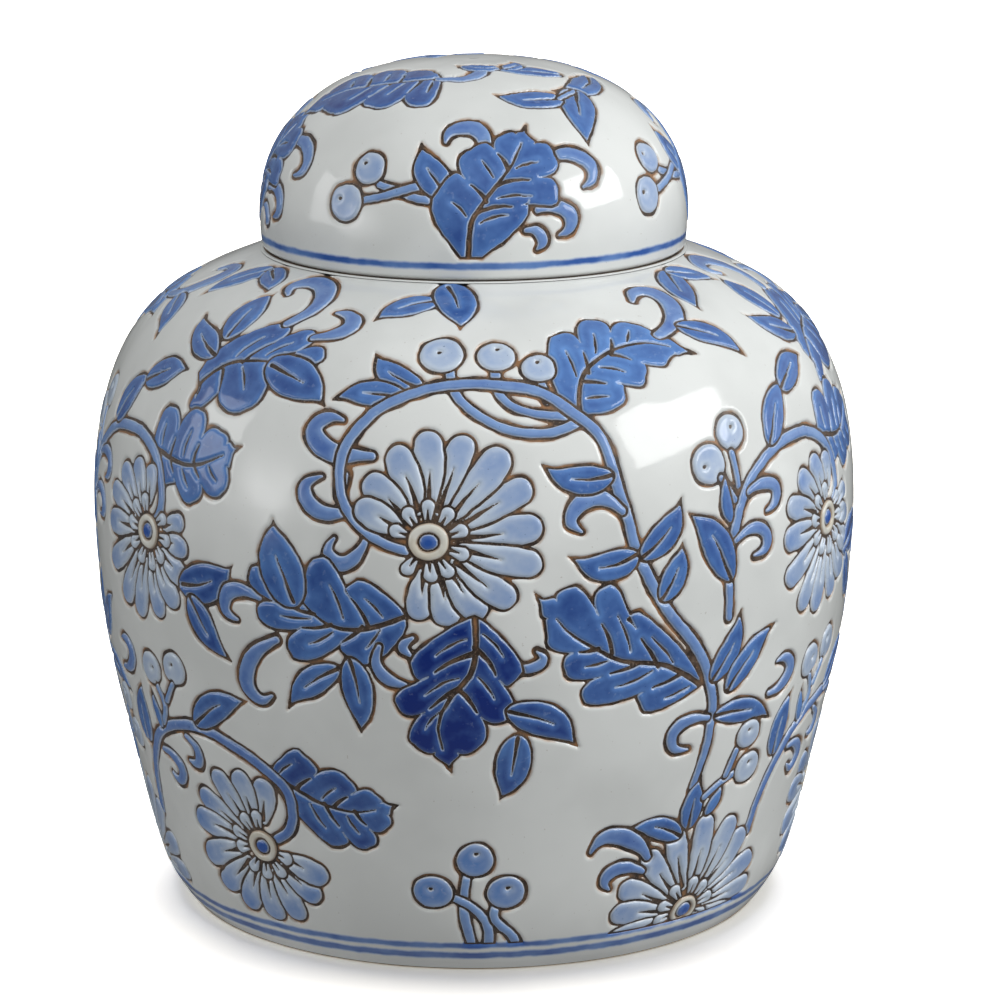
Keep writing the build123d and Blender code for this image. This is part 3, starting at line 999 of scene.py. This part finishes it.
def blue_glaze(name, deep, light, rim):
    """Puffed glaze: pooled and deeper in some places, thin and pale along its edge, where the thin
    pale rim is also a painted highlight on the raised ridge. tone goes from the deep colour to the
    light one."""
    n = Nodes(name)
    inside, tone = n.value("inside"), n.value("tone")
    cloud = n.noise(95, 3, 0.6)
    fine = n.noise(420, 2, 0.6)
    pooled = n.wandering(tone, cloud, -0.95)
    shallow = n.span(inside, 0.5, 2.6, 0.16, -0.08)
    body = n.mix(n.math("ADD", pooled, shallow), deep, light)
    body = n.mix(n.span(fine, 0.60, 0.80, 0.0, 0.20), body, rim)
    specks = n.span(n.noise(1300, 1), 0.74, 0.78, 0.0, 0.45)
    body = n.mix(specks, body, tuple(c * 0.35 for c in deep[:3]) + (1,))
    # A thin pale rim at the cell's very edge: partly the glaze thinning over the edge, partly a
    # painted highlight on the raised ridge.
    edge = n.span(n.wandering(inside, fine, 0.5), 0.12, 0.48, 1.0, 0.0)
    body = n.mix(n.math("MULTIPLY", edge, 0.85), body, rim)
    # Browner at the very foot of the cell, where it meets the brown line.
    browner_foot = n.span(inside, 0.0, 0.14, 0.55, 0.0)
    body = n.mix(browner_foot, body, srgb(120, 106, 98))
    return n.finish(body, n.varied(fine, 0.05, 0.10), n.noise(130), 0.12, 0.0004)


def brown_line(name):
    """Dull brown where the glazes part, lighter in patches and tan where it wore thin."""
    n = Nodes(name)
    patch, grit = n.noise(210, 3, 0.6), n.noise(1500, 2, 0.6)
    color = n.mix(n.span(patch, 0.38, 0.68), srgb(50, 39, 32), srgb(92, 76, 63))
    color = n.mix(n.span(grit, 0.55, 0.75, 0.0, 0.6), color, srgb(160, 140, 122))
    thin = n.span(n.noise(120, 3), 0.42, 0.66)
    worn = n.math("MULTIPLY", n.span(n.value("depth"), 0.35, 0.85), thin)
    color = n.mix(n.math("MULTIPLY", worn, 0.75), color, srgb(164, 118, 76))
    return n.finish(color, n.varied(grit, 0.30, 0.60), grit, 0.35)


def cream_glaze(name):
    n = Nodes(name)
    color = n.mix(n.span(n.noise(150, 3), 0.35, 0.7), srgb(222, 222, 214), srgb(208, 203, 188))
    edge = n.span(n.value("inside"), 0.0, 0.6, 0.8, 0.0)
    color = n.mix(edge, color, srgb(160, 132, 104))
    return n.finish(color, n.varied(n.noise(300), 0.07, 0.13), n.noise(160), 0.1)


def band_glaze(name):
    """A brush line, and the thin wash that bled from it at both edges."""
    n = Nodes(name)
    wander = n.wandering(n.value("inside"), n.noise(260, 3), 0.8)
    brush = n.mix(n.span(n.noise(60, 3), 0.35, 0.7), srgb(50, 88, 160), srgb(104, 138, 194))
    wash = n.mix(n.span(wander, -0.1, 0.8), white_ground(n), srgb(160, 180, 212))
    color = n.mix(n.span(wander, 0.35, 1.15), wash, brush)
    return n.finish(color, n.varied(n.noise(70), 0.07, 0.14), n.noise(110), 0.1, 0.0004)


def clay(name, low=srgb(198, 182, 158), high=srgb(220, 208, 188)):
    n = Nodes(name)
    color = n.mix(n.span(n.noise(90, 3), 0.35, 0.7), low, high)
    color = n.mix(n.span(n.noise(900, 2), 0.6, 0.75, 0, 0.6), color, srgb(150, 128, 102))
    return n.finish(color, n.varied(n.noise(500), 0.65, 0.85), n.noise(1400, 3), 0.3)


materials = {
    "white": white_glaze("white_glaze"),
    "plain": white_glaze("white_glaze_plain", halo=False),
    "line": brown_line("brown_line"),
    "band": band_glaze("painted_band"),
    "clay": clay("bare_clay"),
    # dark clay that paints the shadow in the gap under the lid's rim
    "clay in painted shadow": clay("clay_painted_shadow", srgb(84, 66, 52), srgb(118, 96, 76)),
    DEEP: blue_glaze("deep_blue_glaze", srgb(10, 42, 120), srgb(98, 142, 204), srgb(176, 195, 220)),
    MID: blue_glaze("mid_blue_glaze", srgb(46, 86, 164), srgb(138, 170, 214), srgb(188, 204, 226)),
    PALE: blue_glaze("pale_blue_glaze", srgb(92, 132, 194), srgb(192, 206, 222), srgb(212, 220, 228)),
    CREAM: cream_glaze("cream_glaze"),
}
WORDS = {DEEP: "deep", MID: "mid", PALE: "pale", CREAM: "cream"}


def dress(shell, prefix, body, parts):
    """Make the pieces of one decorated surface."""
    v = shell.v
    white, line, cell = (shell.positions(k) for k in ("white", "line", "cell"))
    shell.polys["white"].append(shell.rings)
    for i, group in enumerate(sectors(shell, shell.polys["white"], parts), 1):
        make(f"{prefix}_ground_{i}", white, group, {"away": -v["line"]}, materials["white"],
             body)
    for i, group in enumerate(sectors(shell, shell.polys["line"], parts), 1):
        make(f"{prefix}_line_{i}", line, group, {"depth": -v["cell"]}, materials["line"], body)
    make(f"{prefix}_band", white, shell.polys["band"], {"inside": v["band"]},
         materials["band"], body)
    for kind in (DEEP, MID, PALE, CREAM):
        chosen = []
        for group in shell.polys["cell"]:
            best = group[np.arange(len(group)), np.argmax(v["cell"][group], axis=1)]
            chosen.append(group[v["kind"][best] == kind])
        count = 1 if kind == CREAM else parts
        for i, group in enumerate(sectors(shell, chosen, count), 1):
            if sum(len(g) for g in group):
                name = f"{prefix}_{WORDS[kind]}" + (f"_{i}" if count > 1 else "")
                make(name, cell, group, {"inside": v["cell"], "tone": v["tone"]},
                     materials[kind], body)


# painted bands: height and width in mm, and how much the hand tilted them
JAR_BANDS = [(10.0, 3.2, 1.2), (6.0, 3.7, 1.2)]
LID_BANDS = [(222.9, 3.2, 0.3)]
JAR_LOW_EDGE, LID_LOW_EDGE = 12.6, 8.0      # mm up the surface, where the motifs stop
dress(Shell(jar, JAR_BANDS, JAR_LOW_EDGE), "jar", "jar", 3)
dress(Shell(lid, LID_BANDS, LID_LOW_EDGE), "lid", "cap", 1)


# ---- The plain turned surfaces: foot, inside, neck, and the lid's inside ------------------

def turned_mesh(name, outline, glaze, close=None):
    """A turned surface through (radius, height) points in mm, of the jar or the lid as its
    name says. close fills the disc at its start or end."""
    body, count = ("jar", JAR_TURNS) if name.startswith("jar") else ("cap", LID_TURNS)
    p = np.asarray(outline, float)
    phi = np.linspace(0, 2 * math.pi, count, endpoint=False)
    co = np.stack([p[:, 0][:, None] * np.sin(phi), -p[:, 0][:, None] * np.cos(phi),
                   p[:, 1][:, None] + 0 * phi], -1).reshape(-1, 3) * MM
    index = np.arange(len(p) * count).reshape(len(p), count)
    nxt = np.roll(index, -1, 1)
    polys = [np.stack([index[:-1], nxt[:-1], nxt[1:], index[1:]], -1).reshape(-1, 4)]
    if close:
        polys.append([list(index[0][::-1] if close == "start" else index[-1])])
    return make(name, co, polys, {}, materials[glaze], body)


JAR_TURNS, LID_TURNS = 336, 184
under = [(0.4, 3.5), (30, 3.5), (60, 3.5), (80.5, 3.5), (81.8, 3.45), (82.5, 3.3), (84.9, 0.9)]
turned_mesh("jar_underside", under, "plain", "start")
ring = [(84.9, 0.9), (85.7, 0.2), (86.2, 0.02), (88, 0.0), (92, 0.0), (95, 0.0), (96.6, 0.0),
        (96.99, 0.03)]
turned_mesh("jar_foot_ring", ring, "clay")

WALL, LID_WALL, NECK, BORE, SEAT, NECK_TOP = 6.5, 5.5, 60.5, 54.5, 218.0, 243.0
SLEEVE = (226.0, 233.0)         # the straight heights of the neck
LIP = (NECK - BORE) / 2         # the neck ends in a half round lip
STATIONS = [0.97, 0.92, 0.87, 0.79, 0.66, 0.52, 0.36, 0.22, 0.11]    # of the way up the jar
r, z, nr, nz = JAR.at(np.array(STATIONS) * JAR.total)
wall = list(zip(r - nr * WALL, z - nz * WALL))
inner = spline([(BORE, 220.0), (58.5, 213.6)] + wall
               + [(93.5, 15.0), (82.0, 10.2), (66.0, 9.0)], 90)
lip = [(BORE + LIP + LIP * math.cos(a), NECK_TOP - LIP + LIP * math.sin(a))
       for a in np.linspace(0, math.pi, 13)]
root = [(62.0 - 1.5 * math.sin(a), 219.5 - 1.5 * math.cos(a))
        for a in np.linspace(0, math.pi / 2, 6)]
edge = [(70.5, 217.6), (70.3, 217.9), (70.1, SEAT), (69.4, SEAT)]
turned_mesh("jar_seat_edge", edge, "plain")
# The ring of the seat just inside the lid's rim, in dark clay as a painted shadow of the gap under
# the rim.
joint = [(69.4, SEAT), (68.9, SEAT), (68.2, SEAT)]
turned_mesh("jar_seat_joint", joint, "clay in painted shadow")
seat = [(68.2, SEAT), (66.0, SEAT)] + root
turned_mesh("jar_seat", seat, "clay")
neck = ([root[-1]] + [(NECK, z) for z in SLEEVE] + lip + [(BORE, z) for z in SLEEVE[::-1]])
inside = np.vstack([neck, inner, [(40.0, 9.0), (20.0, 9.0), (0.4, 9.0)]])
jar_inside = turned_mesh("jar_inside", inside, "plain", "end")

crown = [(max(r, 0.3), z) for r, z in dome(LID_RADIUS - LID_WALL, LID_CROWN - LID_WALL, 40)]
lid_inner = crown[::-1] + [(65.4, 224.0), (65.1, 220.0), (64.9, 218.6)]
lid_inside = turned_mesh("lid_inside", lid_inner, "plain", "start")
lid_rim = [(64.9, 218.6), (65.1, 218.15), (65.5, 218.0), (68.4, 218.0), (68.5, 218.0)]
turned_mesh("lid_rim", lid_rim, "clay")
top = [(float(LID.at(s)[0]), float(LID.at(s)[1]) + WHITE_TOP)
       for s in np.linspace(LID_LAST, LID_TOP, 4)]
turned_mesh("lid_crown", top, "plain", "end")
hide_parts("jar_body")
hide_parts("lid")

# ---- Floor, light and camera --------------------------------------------------------------

FLOOR_CORNERS, FLOOR_RADIUS, FLOOR_LEVEL, FLOOR_GAIN = 96, 14.0, -0.0002, 1.7
LAMP_AIM = Vector((0, 0, 0.14))


def floor():
    """A plain pale floor just under the foot, left out of reflections and bounced light."""
    me = bpy.data.meshes.new("floor")
    turns = [2 * math.pi * k / FLOOR_CORNERS for k in range(FLOOR_CORNERS)]
    ring = [(FLOOR_RADIUS * math.cos(a), FLOOR_RADIUS * math.sin(a), FLOOR_LEVEL)
            for a in turns]
    me.from_pydata(ring, [], [tuple(range(FLOOR_CORNERS))])
    n = Nodes("floor_paper")
    warm, pale = (tuple(FLOOR_GAIN * k * c for c in (1.03, 1.0, 0.955)) + (1,) for k in (1.0, 1.02))
    shade = n.mix(n.span(n.noise(3, 2), 0.3, 0.7), warm, pale)
    n.shader.inputs["Specular IOR Level"].default_value = 0.0
    me.materials.append(n.finish(shade, 0.9))
    ob = bpy.data.objects.new("floor", me)
    bpy.context.scene.collection.objects.link(ob)
    ob.visible_diffuse = False
    ob.visible_glossy = False
    return ob


def toward(azimuth, elevation):
    """The direction at an azimuth from the front, positive to the right, in degrees."""
    a, e = math.radians(azimuth), math.radians(elevation)
    return Vector((math.sin(a) * math.cos(e), -math.cos(a) * math.cos(e), math.sin(e)))


def hang(name, light, azimuth, elevation, receivers):
    """A lamp that shines toward the axis from its direction, on some of the objects."""
    ob = bpy.data.objects.new(name, light)
    ob.rotation_euler = (-toward(azimuth, elevation)).to_track_quat("-Z", "Y").to_euler()
    bpy.context.scene.collection.objects.link(ob)
    ob.light_linking.receiver_collection = receivers
    return ob


def softbox(name, azimuth, elevation, distance, width, height, radiance, mirrored=True):
    """An area lamp on the jar and lid. Unless mirrored, it leaves no reflection."""
    light = bpy.data.lights.new(name, "AREA")
    light.shape, light.size, light.size_y = "RECTANGLE", width, height
    light.energy = 4 * width * height * radiance
    ob = hang(name, light, azimuth, elevation, jar_and_lid)
    ob.location = LAMP_AIM + toward(azimuth, elevation) * distance
    ob.visible_camera = False
    ob.visible_glossy = mirrored


def high_sun(name, azimuth, elevation, spread, strength):
    """A wide sun on the floor alone."""
    light = bpy.data.lights.new(name, "SUN")
    light.energy, light.angle = strength, math.radians(spread)
    hang(name, light, azimuth, elevation, floor_alone)


def studio_world(base, under, glows):
    """A dim room with broad glows, each an azimuth, elevation, sharpness and strength. The
    floor sends little light back up, and the camera sees plain white behind it."""
    n = Nodes("studio", bpy.data.worlds, "Background")
    bpy.context.scene.world = n.owner
    n.shader.inputs["Color"].default_value = (1, 1, 1, 1)
    way = n.node("TexCoord").outputs["Generated"]

    def along_way(direction):
        node = n.node("VectorMath")
        node.operation = "DOT_PRODUCT"
        n.feed(node.inputs, (way, direction))
        return node.outputs["Value"]

    total = base
    for azimuth, elevation, sharpness, strength in glows:
        facing = n.math("MAXIMUM", along_way(toward(azimuth, elevation)), 0.0)
        total = n.scaled(n.math("POWER", facing, sharpness), strength, total)
    above = n.scaled(along_way((0, 0, 1)), 4.0, 1.0)
    above = n.math("MAXIMUM", n.math("MINIMUM", above, 1.0), 0.0)
    below = n.math("MAXIMUM", along_way((0, 0, -1)), 0.0)
    below = n.scaled(n.math("POWER", below, 2.0), 0.5, under)
    room = n.scaled(n.math("SUBTRACT", total, below), above, below)
    seen = n.node("LightPath").outputs["Is Camera Ray"]
    room = n.scaled(n.math("SUBTRACT", 1.0, room), seen, room)
    n.feed([n.shader.inputs["Strength"]], [room])


jar_and_lid = bpy.data.collections.new("jar_and_lid")
for piece in bpy.context.scene.objects:
    if piece.type == "MESH":
        jar_and_lid.objects.link(piece)
floor_alone = bpy.data.collections.new("floor_alone")
floor_alone.objects.link(floor())
softbox("key_right", 67, 24, 1.5, 0.92, 0.55, 4.6)
softbox("front_fill", 18, 38, 0.70, 0.50, 0.40, 2.05, mirrored=False)
softbox("back_fill", 195, 28, 1.2, 0.9, 0.7, 1.5, mirrored=False)
softbox("strip_left", -86, 14, 1.5, 0.5, 0.7, 1.7)
high_sun("high_back", 180, 81, 46, 3.3)
studio_world(0.06, 0.06, [(9, 42, 4, 0.45), (180, 50, 3, 0.5), (-64, 2, 70, 4.0),
                          (-92, 12, 5, 0.65), (98, 8, 5, 1.0)])

scene = bpy.context.scene
scene.view_settings.view_transform = "Standard"
camera = bpy.data.cameras.new("camera")
camera.lens, camera.sensor_width = 149.32, 36.0
eye = bpy.data.objects.new("camera", camera)
eye.location = (0.0, -1.3535, 0.4498)
pitch, yaw = math.radians(13.247), math.radians(0.365)
eye.rotation_euler = (math.pi / 2 - pitch, 0.0, -yaw)
scene.collection.objects.link(eye)
scene.camera = eye
